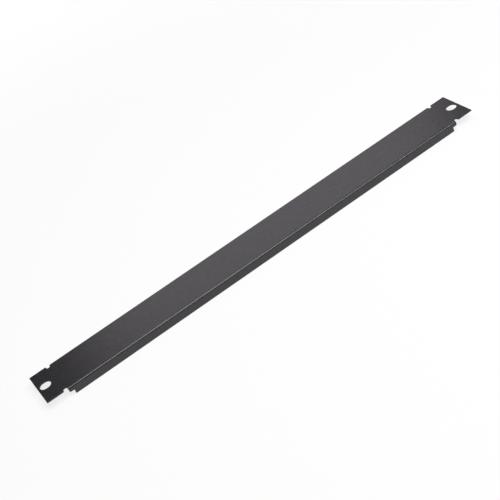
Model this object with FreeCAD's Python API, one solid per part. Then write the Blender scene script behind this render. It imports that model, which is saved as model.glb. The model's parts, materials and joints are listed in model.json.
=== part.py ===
import FreeCAD, Part
import math
import os

# Blanking panel, one rack unit high, for a 19-inch rack. It is one steel sheet: a flat face,
# a slotted ear at each end of it, and a long flange folded back along each of its long edges.
# Sizes are in millimetres. The panel lies face up on the free edges of its two flanges:
# X runs along it, Y across it and Z out of its front. The origin is on the plane that it
# rests on, under the middle of the face.

# Driving dimensions
panel_length = 482.6        # over both ears, 19 inches
panel_height = 44.0         # over both folds, just under the 44.45 of one rack unit
sheet_thickness = 1.2
inner_bend_radius = 0.8
flange_depth = 9.2          # from the front of the face to a flange's free edge

ear_length = 16.9           # from the panel's end to the relief notch
ear_edge_inset = 0.95       # an ear's long edge lies this far inside the fold's outside
ear_corner_radius = 0.4

slot_length = 10.7          # along the panel
slot_width = 9.0
slot_end_distance = 7.6     # from the panel's end to the slot's centre

relief_width = 3.8          # notch between an ear and the end of a fold
relief_reach = 2.05         # how far the notch runs past the bend line, into the face

tab_depth = 4.6             # from the front of the face: so deep, the flange has its full length
tab_corner_radius = 1.6
flange_setback = 4.4        # below the tab, the flange's end stands back this far

# Derived sizes
outer_bend_radius = inner_bend_radius + sheet_thickness
half_length = panel_length / 2
half_height = panel_height / 2
bend_line = half_height - outer_bend_radius
face_back = flange_depth - sheet_thickness
relief_outer_x = half_length - ear_length
fold_end_x = relief_outer_x - relief_width
relief_radius = min(relief_width / 2, relief_reach)


def rounded_outline(corners, place):
    """Closed wire through (u, v, radius) corners, each rounded by a tangent arc of its radius.

    place turns a corner's u and v into a point in space.
    """
    starts, middles, ends = [], [], []
    for i, (u, v, radius) in enumerate(corners):
        corner = FreeCAD.Vector(u, v, 0)
        before = FreeCAD.Vector(*corners[i - 1][:2], 0) - corner
        after = FreeCAD.Vector(*corners[(i + 1) % len(corners)][:2], 0) - corner
        half_angle = before.getAngle(after) / 2
        before.normalize()
        after.normalize()
        tangent_length = radius / math.tan(half_angle)
        inward = (before + after).normalize()
        to_arc = radius / math.sin(half_angle) - radius
        starts.append(corner + before * tangent_length)
        middles.append(corner + inward * to_arc)
        ends.append(corner + after * tangent_length)

    edges = []
    for i, (u, v, radius) in enumerate(corners):
        line_start, line_end = place(ends[i - 1]), place(starts[i])
        if line_start.distanceToPoint(line_end) > 1e-6:
            edges.append(Part.LineSegment(line_start, line_end).toShape())
        if radius > 0:
            arc = Part.Arc(line_end, place(middles[i]), place(ends[i]))
            edges.append(arc.toShape())
    return Part.Wire(edges)


def in_xy(point):
    return FreeCAD.Vector(point.x, point.y, face_back)


def in_yz(point):
    return FreeCAD.Vector(-half_length, point.x, point.y)


def in_xz(point):
    return FreeCAD.Vector(point.x, -half_height, point.y)


def plate(outline, sweep):
    return Part.Face(outline).extrude(sweep)


def mirrored(corners, along_u=False):
    """The same corners on the other side of an axis, in the order that carries an outline on."""
    if along_u:
        return [(-u, v, radius) for u, v, radius in reversed(corners)]
    return [(u, -v, radius) for u, v, radius in reversed(corners)]


def face_sheet():
    """The flat of the sheet: the face up to the bend lines, the relief notches and both ears."""
    ear_edge = half_height - ear_edge_inset
    relief_floor = bend_line - relief_reach
    quarter = [
        (half_length, ear_edge, ear_corner_radius),
        (relief_outer_x, ear_edge, 0),
        (relief_outer_x, relief_floor, relief_radius),
        (fold_end_x, relief_floor, relief_radius),
        (fold_end_x, bend_line, 0),
    ]
    upper_half = quarter + mirrored(quarter, along_u=True)
    outline = rounded_outline(upper_half + mirrored(upper_half), in_xy)
    return plate(outline, FreeCAD.Vector(0, 0, sheet_thickness))


def folded_section():
    """The fold's cross-section, swept along the panel: the face between two bends and flanges."""
    inner_half = half_height - sheet_thickness
    side = [
        (half_height, 0, 0),
        (half_height, flange_depth, outer_bend_radius),
    ]
    inner_side = [
        (inner_half, face_back, inner_bend_radius),
        (inner_half, 0, 0),
    ]
    corners = side + mirrored(side, along_u=True) + mirrored(inner_side, along_u=True) + inner_side
    return plate(rounded_outline(corners, in_yz), FreeCAD.Vector(panel_length, 0, 0))


def side_elevation():
    """A flange seen from the side, swept across the panel: stepped ends, with a tab at the fold."""
    tab_edge = flange_depth - tab_depth
    end = [
        (fold_end_x - flange_setback, 0, 0),
        (fold_end_x - flange_setback, tab_edge, 0),
        (fold_end_x, tab_edge, tab_corner_radius),
        (fold_end_x, flange_depth, 0),
    ]
    outline = rounded_outline(end + mirrored(end, along_u=True), in_xz)
    return plate(outline, FreeCAD.Vector(0, panel_height, 0))


def ear_slot(side):
    """Cutter for the obround screw slot of the ear on one side, -1 or 1, of the panel."""
    centre_x = side * (half_length - slot_end_distance)
    end_radius = slot_width / 2
    corners = [
        (centre_x + slot_length / 2, slot_width / 2, end_radius),
        (centre_x - slot_length / 2, slot_width / 2, end_radius),
        (centre_x - slot_length / 2, -slot_width / 2, end_radius),
        (centre_x + slot_length / 2, -slot_width / 2, end_radius),
    ]
    return plate(rounded_outline(corners, in_xy), FreeCAD.Vector(0, 0, sheet_thickness))


def blanking_panel():
    folds = folded_section().common(side_elevation())
    sheet = face_sheet().fuse(folds).removeSplitter()
    for side in (-1, 1):
        sheet = sheet.cut(ear_slot(side))
    return sheet.Solids[0]


panel = blanking_panel()
os.makedirs("parts", exist_ok=True)
panel.exportStep("parts/panel.step")
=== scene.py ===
import json
import math
import bmesh
import bpy
from mathutils import Matrix, Quaternion, Vector
from mathutils.geometry import delaunay_2d_cdt


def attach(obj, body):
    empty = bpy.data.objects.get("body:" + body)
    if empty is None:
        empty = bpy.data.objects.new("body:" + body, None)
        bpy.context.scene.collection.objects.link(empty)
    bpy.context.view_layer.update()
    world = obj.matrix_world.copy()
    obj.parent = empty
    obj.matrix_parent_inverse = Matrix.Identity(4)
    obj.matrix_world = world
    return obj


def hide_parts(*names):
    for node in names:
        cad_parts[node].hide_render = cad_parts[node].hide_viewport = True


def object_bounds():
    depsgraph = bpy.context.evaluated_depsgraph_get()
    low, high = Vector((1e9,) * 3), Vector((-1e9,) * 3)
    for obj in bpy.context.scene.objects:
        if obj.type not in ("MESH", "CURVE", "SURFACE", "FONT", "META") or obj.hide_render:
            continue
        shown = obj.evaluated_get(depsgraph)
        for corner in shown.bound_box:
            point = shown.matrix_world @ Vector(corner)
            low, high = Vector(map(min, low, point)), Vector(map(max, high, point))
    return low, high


# Looks of a 1U rack blanking panel: one folded steel sheet under a satin black powder coat.
# Everything is in metres, in the CAD model's frame: X along the panel, Y across it, Z up out of
# its front face, with the free edges of its flanges on the floor at Z = 0.

MM = 0.001

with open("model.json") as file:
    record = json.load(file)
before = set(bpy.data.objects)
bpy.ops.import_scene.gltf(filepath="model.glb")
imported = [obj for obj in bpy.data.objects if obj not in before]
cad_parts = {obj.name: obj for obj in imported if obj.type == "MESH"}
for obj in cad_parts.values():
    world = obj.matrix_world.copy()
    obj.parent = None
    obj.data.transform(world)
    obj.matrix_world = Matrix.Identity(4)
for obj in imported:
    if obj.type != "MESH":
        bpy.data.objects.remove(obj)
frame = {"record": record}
cad_low, cad_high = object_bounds()
ear_slots = next(m for m in frame["record"]["mounts"] if m["name"] == "ear_slots")

# Sizes that the frame gives
FACE_Z = cad_high.z
HALF_LENGTH = cad_high.x
HALF_HEIGHT = cad_high.y
SLOT_X = ear_slots["dims"]["spacing_x_mm"] * MM / 2
SLOT_RADIUS = ear_slots["dims"]["hole_r_mm"] * MM
SLOT_LENGTH = ear_slots["dims"]["slot_length_mm"] * MM
SHEET = FACE_Z - ear_slots["pos_m"][2]

# Sizes that repeat the part's own
INNER_BEND_RADIUS = 0.8 * MM
EAR_LENGTH = 16.9 * MM
EAR_EDGE_INSET = 0.95 * MM
EAR_CORNER_RADIUS = 0.4 * MM
RELIEF_WIDTH = 3.8 * MM
RELIEF_REACH = 2.05 * MM
TAB_DEPTH = 4.6 * MM
TAB_CORNER_RADIUS = 1.6 * MM
FLANGE_SETBACK = 4.4 * MM

# Sizes that follow from these. The sheet is laid out flat along its outer surface: up to the
# bend line it is the face, then comes the bend's arc, and then the flange down to its free edge.
OUTER_BEND_RADIUS = INNER_BEND_RADIUS + SHEET
BEND_LINE = HALF_HEIGHT - OUTER_BEND_RADIUS
BEND_ARC = OUTER_BEND_RADIUS * math.pi / 2
BEND_END = BEND_LINE + BEND_ARC
FREE_EDGE = BEND_END + FACE_Z - OUTER_BEND_RADIUS
TAB_EDGE = BEND_END + TAB_DEPTH - OUTER_BEND_RADIUS
RELIEF_OUTER_X = HALF_LENGTH - EAR_LENGTH
FOLD_END_X = RELIEF_OUTER_X - RELIEF_WIDTH
RELIEF_MIDDLE_X = RELIEF_OUTER_X - RELIEF_WIDTH / 2

# How finely the mesh follows its arcs, and how the coat rounds what was cut
BEND_STEPS = 14
ARC_CHORD_ERROR = 0.004 * MM
COAT_EDGE_RADIUS = 0.16 * MM
COAT_EDGE_STEPS = 4
COAT_CORNER_RADIUS = 0.25 * MM

# Strips of plain skin beside each rounded edge and each bend, so that smooth shading stays
# inside the strips and the flats shade flat
EDGE_STRIP = 0.06 * MM
BEND_STRIP = 0.1 * MM

# Points closer together than this are one point
SAME_POINT = 1e-7

BEND_ROWS = [BEND_LINE - BEND_STRIP]
BEND_ROWS += [BEND_LINE + BEND_ARC * step / BEND_STEPS for step in range(BEND_STEPS + 1)]
BEND_ROWS += [BEND_END + BEND_STRIP]


# ---------------------------------------------------------------- the sheet's mesh


def rounded_loop(corners):
    """Points of a closed outline through (x, y, radius) corners, rounded by tangent arcs."""
    points = []
    for i, (x, y, radius) in enumerate(corners):
        corner = Vector((x, y))
        radius = max(radius, COAT_CORNER_RADIUS)
        before = (Vector(corners[i - 1][:2]) - corner).normalized()
        after = (Vector(corners[(i + 1) % len(corners)][:2]) - corner).normalized()
        half_angle = before.angle(after) / 2
        tangent_length = radius / math.tan(half_angle)
        centre = corner + (before + after).normalized() * (radius / math.sin(half_angle))
        spoke = corner + before * tangent_length - centre
        turn = math.copysign(math.pi - 2 * half_angle, after.cross(before))
        widest_step = 2 * math.acos(1 - ARC_CHORD_ERROR / radius)
        steps = math.ceil(abs(turn) / widest_step)
        for step in range(steps + 1):
            point = centre + Matrix.Rotation(turn * step / steps, 2) @ spoke
            if not points or (point - points[-1]).length > SAME_POINT:
                points.append(point)
    if (points[0] - points[-1]).length < SAME_POINT:
        points.pop()
    return points


def mirrored(corners, along_x=False):
    """The corners on the other side of an axis, in the order that carries an outline on."""
    if along_x:
        return [(-x, y, radius) for x, y, radius in reversed(corners)]
    return [(x, -y, radius) for x, y, radius in reversed(corners)]


def split_at_bends(loop):
    """The same outline with a point wherever a row of the bends meets the fold's end."""
    split = []
    for i, point in enumerate(loop):
        split.append(point)
        if abs(point.x) > RELIEF_MIDDLE_X:
            continue
        following = loop[(i + 1) % len(loop)]
        low, high = sorted((abs(point.y), abs(following.y)))
        rows = [row for row in BEND_ROWS if low < row < high]
        if abs(following.y) < abs(point.y):
            rows.reverse()
        side = math.copysign(1, point.y)
        split += [Vector((point.x, side * row)) for row in rows]
    return split


def flat_outline():
    """Outline of the sheet laid flat, with its ears, relief notches and stepped flange ends."""
    ear_edge = HALF_HEIGHT - EAR_EDGE_INSET
    relief_floor = BEND_LINE - RELIEF_REACH
    relief_radius = RELIEF_WIDTH / 2
    quarter = [
        (HALF_LENGTH, ear_edge, EAR_CORNER_RADIUS),
        (RELIEF_OUTER_X, ear_edge, 0),
        (RELIEF_OUTER_X, relief_floor, relief_radius),
        (FOLD_END_X, relief_floor, relief_radius),
        (FOLD_END_X, TAB_EDGE, TAB_CORNER_RADIUS),
        (FOLD_END_X - FLANGE_SETBACK, TAB_EDGE, 0),
        (FOLD_END_X - FLANGE_SETBACK, FREE_EDGE, 0),
    ]
    upper_half = quarter + mirrored(quarter, along_x=True)
    return split_at_bends(rounded_loop(upper_half + mirrored(upper_half)))


def slot_outline(side):
    """Outline of the obround screw slot in the ear on one side, -1 or 1."""
    centre_x = side * SLOT_X
    half_length = SLOT_LENGTH / 2
    corners = [
        (centre_x + half_length, SLOT_RADIUS, SLOT_RADIUS),
        (centre_x - half_length, SLOT_RADIUS, SLOT_RADIUS),
        (centre_x - half_length, -SLOT_RADIUS, SLOT_RADIUS),
        (centre_x + half_length, -SLOT_RADIUS, SLOT_RADIUS),
    ]
    return rounded_loop(corners)[::-1]


def outward(loop):
    """For each point of a loop with the sheet on its left, the way off the sheet, mitred."""
    ways = []
    for i, point in enumerate(loop):
        arriving = (point - loop[i - 1]).normalized()
        leaving = (loop[(i + 1) % len(loop)] - point).normalized()
        first = Vector((arriving.y, -arriving.x))
        second = Vector((leaving.y, -leaving.x))
        ways.append((first + second) / (1 + first.dot(second)))
    return ways


def inset_loop(loop, inset):
    """The loop moved onto the sheet by a distance."""
    return [point - way * inset for point, way in zip(loop, outward(loop))]


def edge_profile():
    """(inset, depth) of each ring of points, from the outer skin over a cut edge to the inner."""
    outer = [(COAT_EDGE_RADIUS + EDGE_STRIP, 0)]
    for step in range(COAT_EDGE_STEPS + 1):
        angle = math.pi / 2 * step / COAT_EDGE_STEPS
        inset = COAT_EDGE_RADIUS * (1 - math.sin(angle))
        depth = COAT_EDGE_RADIUS * (1 - math.cos(angle))
        outer.append((inset, depth))
    return outer + [(inset, SHEET - depth) for inset, depth in reversed(outer)]


def fold(point, depth):
    """Where a point of the flat sheet goes when it is folded, at a depth below its outside."""
    side = math.copysign(1, point.y)
    across = abs(point.y)
    if across <= BEND_LINE or abs(point.x) > RELIEF_MIDDLE_X:
        return Vector((point.x, point.y, FACE_Z - depth))
    if across >= BEND_END:
        height = FACE_Z - OUTER_BEND_RADIUS - (across - BEND_END)
        return Vector((point.x, side * (HALF_HEIGHT - depth), height))
    angle = (across - BEND_LINE) / OUTER_BEND_RADIUS
    radius = OUTER_BEND_RADIUS - depth
    y = side * (BEND_LINE + radius * math.sin(angle))
    z = FACE_Z - OUTER_BEND_RADIUS + radius * math.cos(angle)
    return Vector((point.x, y, z))


def bend_chords(outline):
    """Pairs of the outline's points that a row of the bends joins, from one end to the other."""
    folded = [i for i, point in enumerate(outline) if abs(point.x) < RELIEF_MIDDLE_X]
    chords = []
    for side in (-1, 1):
        for row in BEND_ROWS:
            ends = [i for i in folded if abs(outline[i].y - side * row) < SAME_POINT]
            chords.append((ends[0], ends[-1]))
    return chords


def skin_triangles(loops):
    """Triangles that fill the outline around the slots, as triples of the loops' point numbers."""
    points, edges = [], []
    for loop in loops:
        first = len(points)
        points += loop
        edges += [(first + i, first + (i + 1) % len(loop)) for i in range(len(loop))]
    edges += bend_chords(loops[0])
    inside_only = 1
    tolerance = SAME_POINT / 10
    _, _, triangles, sources, _, _ = delaunay_2d_cdt(points, edges, [], inside_only, tolerance)
    numbered = [[sources[corner][0] for corner in triangle] for triangle in triangles]
    return [numbers for numbers in numbered if min(numbers) < len(loops[0])]


def folded_sheet():
    """The panel as one closed mesh: two skins, joined by the rounded cut edges of each loop."""
    loops = [flat_outline(), slot_outline(-1), slot_outline(1)]
    profile = edge_profile()
    sheet = bmesh.new()
    outer_skin, inner_skin = [], []
    for loop in loops:
        rings = []
        for inset, depth in profile:
            ring = [sheet.verts.new(fold(point, depth)) for point in inset_loop(loop, inset)]
            rings.append(ring)
        for ring, following in zip(rings, rings[1:]):
            for i in range(len(ring)):
                sheet.faces.new([ring[i - 1], ring[i], following[i], following[i - 1]])
        outer_skin += rings[0]
        inner_skin += rings[-1]
    skin_inset = profile[0][0]
    for triangle in skin_triangles([inset_loop(loop, skin_inset) for loop in loops]):
        sheet.faces.new([outer_skin[i] for i in triangle])
        sheet.faces.new([inner_skin[i] for i in reversed(triangle)])
    bmesh.ops.recalc_face_normals(sheet, faces=sheet.faces)

    mesh = bpy.data.meshes.new("folded_panel")
    sheet.to_mesh(mesh)
    sheet.free()
    mesh.shade_smooth()
    return mesh


# ---------------------------------------------------------------- materials


def new_material(name):
    """An empty node material, with its nodes and links."""
    material = bpy.data.materials.new(name)
    material.use_nodes = True
    nodes = material.node_tree.nodes
    nodes.clear()
    return material, nodes, material.node_tree.links


def powder_coat():
    """Satin black powder coat: a fine pebbled skin over a long, soft orange peel."""
    darkest = (0.0160, 0.0152, 0.0190, 1)
    palest = (0.0200, 0.0190, 0.0231, 1)
    smoothest, roughest = 0.25, 0.28
    tone_size, sheen_size = 9 * MM, 5 * MM
    peel_size, peel_depth = 1.6 * MM, 0.008 * MM
    grain_size, grain_depth = 0.35 * MM, 0.004 * MM
    material, nodes, links = new_material("powder_coat")
    output = nodes.new("ShaderNodeOutputMaterial")
    shader = nodes.new("ShaderNodeBsdfPrincipled")
    links.new(shader.outputs["BSDF"], output.inputs["Surface"])
    shader.inputs["Metallic"].default_value = 0
    shader.inputs["IOR"].default_value = 1.54

    place = nodes.new("ShaderNodeTexCoord").outputs["Object"]

    def noise(size, detail):
        texture = nodes.new("ShaderNodeTexNoise")
        texture.inputs["Scale"].default_value = 1 / size
        texture.inputs["Detail"].default_value = detail
        texture.inputs["Roughness"].default_value = 0.5
        links.new(place, texture.inputs["Vector"])
        return texture.outputs["Fac"]

    def ranged(value, low, high):
        # Most of a noise lies between 0.3 and 0.7
        spread = nodes.new("ShaderNodeMapRange")
        spread.inputs["From Min"].default_value = 0.3
        spread.inputs["From Max"].default_value = 0.7
        spread.inputs["To Min"].default_value = low
        spread.inputs["To Max"].default_value = high
        links.new(value, spread.inputs["Value"])
        return spread.outputs["Result"]

    def bump(size, detail, distance):
        raised = nodes.new("ShaderNodeBump")
        raised.inputs["Distance"].default_value = distance
        raised.inputs["Strength"].default_value = 0.5
        links.new(noise(size, detail), raised.inputs["Height"])
        return raised

    tone = nodes.new("ShaderNodeMix")
    tone.data_type = "RGBA"
    tone.inputs["A"].default_value = darkest
    tone.inputs["B"].default_value = palest
    links.new(ranged(noise(tone_size, detail=3), 0, 1), tone.inputs["Factor"])
    links.new(tone.outputs["Result"], shader.inputs["Base Color"])
    sheen = ranged(noise(sheen_size, detail=2), smoothest, roughest)
    links.new(sheen, shader.inputs["Roughness"])

    peel = bump(peel_size, 1, peel_depth)
    grain = bump(grain_size, 2, grain_depth)
    links.new(peel.outputs["Normal"], grain.inputs["Normal"])
    links.new(grain.outputs["Normal"], shader.inputs["Normal"])
    return material


def studio_white():
    """Pale matt paper that keeps a faint shadow and turns to plain white away from the panel."""
    paper_grey = 0.90
    near, far = 0.30, 0.80
    white_share_near, white_share_far = 0.82, 1.0
    material, nodes, links = new_material("studio_white")
    output = nodes.new("ShaderNodeOutputMaterial")
    mix = nodes.new("ShaderNodeMixShader")
    matt = nodes.new("ShaderNodeBsdfDiffuse")
    matt.inputs["Color"].default_value = (paper_grey, paper_grey, paper_grey, 1)
    white = nodes.new("ShaderNodeEmission")
    white.inputs["Strength"].default_value = 1
    links.new(matt.outputs["BSDF"], mix.inputs[1])
    links.new(white.outputs["Emission"], mix.inputs[2])
    links.new(mix.outputs["Shader"], output.inputs["Surface"])

    place = nodes.new("ShaderNodeTexCoord")
    distance = nodes.new("ShaderNodeVectorMath")
    distance.operation = "LENGTH"
    links.new(place.outputs["Object"], distance.inputs[0])
    fade = nodes.new("ShaderNodeMapRange")
    fade.interpolation_type = "SMOOTHSTEP"
    fade.inputs["From Min"].default_value = near
    fade.inputs["From Max"].default_value = far
    fade.inputs["To Min"].default_value = white_share_near
    fade.inputs["To Max"].default_value = white_share_far
    links.new(distance.outputs["Value"], fade.inputs["Value"])

    # The camera, gloss and glass all see the white; light that the paper scatters comes from
    # its matt colour alone
    rays = nodes.new("ShaderNodeLightPath")
    sight = nodes.new("ShaderNodeMath")
    sight.operation = "MAXIMUM"
    links.new(rays.outputs["Is Camera Ray"], sight.inputs[0])
    links.new(rays.outputs["Is Glossy Ray"], sight.inputs[1])
    seen = nodes.new("ShaderNodeMath")
    seen.operation = "MAXIMUM"
    links.new(sight.outputs["Value"], seen.inputs[0])
    links.new(rays.outputs["Is Transmission Ray"], seen.inputs[1])
    share = nodes.new("ShaderNodeMath")
    share.operation = "MULTIPLY"
    links.new(seen.outputs["Value"], share.inputs[0])
    links.new(fade.outputs["Result"], share.inputs[1])
    links.new(share.outputs["Value"], mix.inputs["Fac"])
    return material


# ---------------------------------------------------------------- studio


def add_paper():
    """A round floor of paper, with an upright rim that backs the panel in level views."""
    radius, rim, sides = 12.0, 3.2, 96
    turns = [2 * math.pi * i / sides for i in range(sides)]
    low = [(radius * math.cos(t), radius * math.sin(t), 0) for t in turns]
    high = [(x, y, rim) for x, y, _ in low]
    walls = [(i, (i + 1) % sides, (i + 1) % sides + sides, i + sides) for i in range(sides)]
    mesh = bpy.data.meshes.new("paper")
    mesh.from_pydata(low + high, [], [tuple(range(sides))] + walls)
    paper = bpy.data.objects.new("paper", mesh)
    bpy.context.scene.collection.objects.link(paper)
    paper.data.materials.append(studio_white())


def direction(azimuth, elevation):
    """Unit vector from the panel: azimuth 0 is towards -Y and 90 towards +X, in degrees."""
    a, e = math.radians(azimuth), math.radians(elevation)
    return Vector((math.sin(a) * math.cos(e), -math.cos(a) * math.cos(e), math.sin(e)))


def softbox(name, azimuth, elevation, distance, width, height, radiance, colour=(1, 1, 1)):
    """Area lamp that faces the panel and is hidden from the camera.

    radiance is how bright it looks in a mirror.
    """
    data = bpy.data.lights.new(name, "AREA")
    data.shape = "RECTANGLE"
    data.size, data.size_y = width, height
    data.energy = radiance * math.pi * width * height
    data.color = colour
    lamp = bpy.data.objects.new(name, data)
    bpy.context.scene.collection.objects.link(lamp)
    away = direction(azimuth, elevation)
    lamp.location = away * distance
    lamp.rotation_mode = "QUATERNION"
    lamp.rotation_quaternion = away.to_track_quat("Z", "Y")
    lamp.visible_camera = False


def add_lamps():
    """A long softbox above the front right, and two smaller ones for the gloss."""
    pink = (1, 0.94, 1)
    softbox("overhead", 34, 74, distance=1.5, width=0.82, height=1.80, radiance=5.5)
    softbox("front_right", 59, 51, distance=1.6, width=0.38, height=0.28, radiance=10.6)
    softbox("back_right", 159.5, 36, 1.5, width=0.99, height=0.53, radiance=1.45, colour=pink)


def light_world():
    """The dim room above the paper, the same for every ray."""
    world = bpy.data.worlds.new("studio")
    bpy.context.scene.world = world
    world.use_nodes = True
    nodes, links = world.node_tree.nodes, world.node_tree.links
    nodes.clear()
    output = nodes.new("ShaderNodeOutputWorld")
    room = nodes.new("ShaderNodeBackground")
    grey = 0.012
    room.inputs["Color"].default_value = (grey, grey, grey, 1)
    links.new(room.outputs["Background"], output.inputs["Surface"])


def add_camera():
    """The camera looks down along the panel from its near left, rolled to the left."""
    azimuth, elevation, roll = -18.64, 36.99, -23.0
    distance = 0.9808
    aim = Vector((-0.0160, -0.0061, FACE_Z))
    data = bpy.data.cameras.new("camera")
    data.sensor_width = 36
    data.lens = 77.56
    data.clip_start, data.clip_end = 0.05, 50
    camera = bpy.data.objects.new("camera", data)
    bpy.context.scene.collection.objects.link(camera)
    back = direction(azimuth, elevation)
    camera.location = aim + back * distance
    camera.rotation_mode = "QUATERNION"
    level = back.to_track_quat("Z", "Y")
    camera.rotation_quaternion = level @ Quaternion((0, 0, 1), math.radians(roll))
    bpy.context.scene.camera = camera


# ---------------------------------------------------------------- the scene

panel = bpy.data.objects.new("folded_panel", folded_sheet())
bpy.context.scene.collection.objects.link(panel)
panel.data.materials.append(powder_coat())
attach(panel, "root")
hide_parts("panel")

add_paper()
add_lamps()
light_world()
add_camera()
bpy.context.scene.view_settings.view_transform = "Standard"
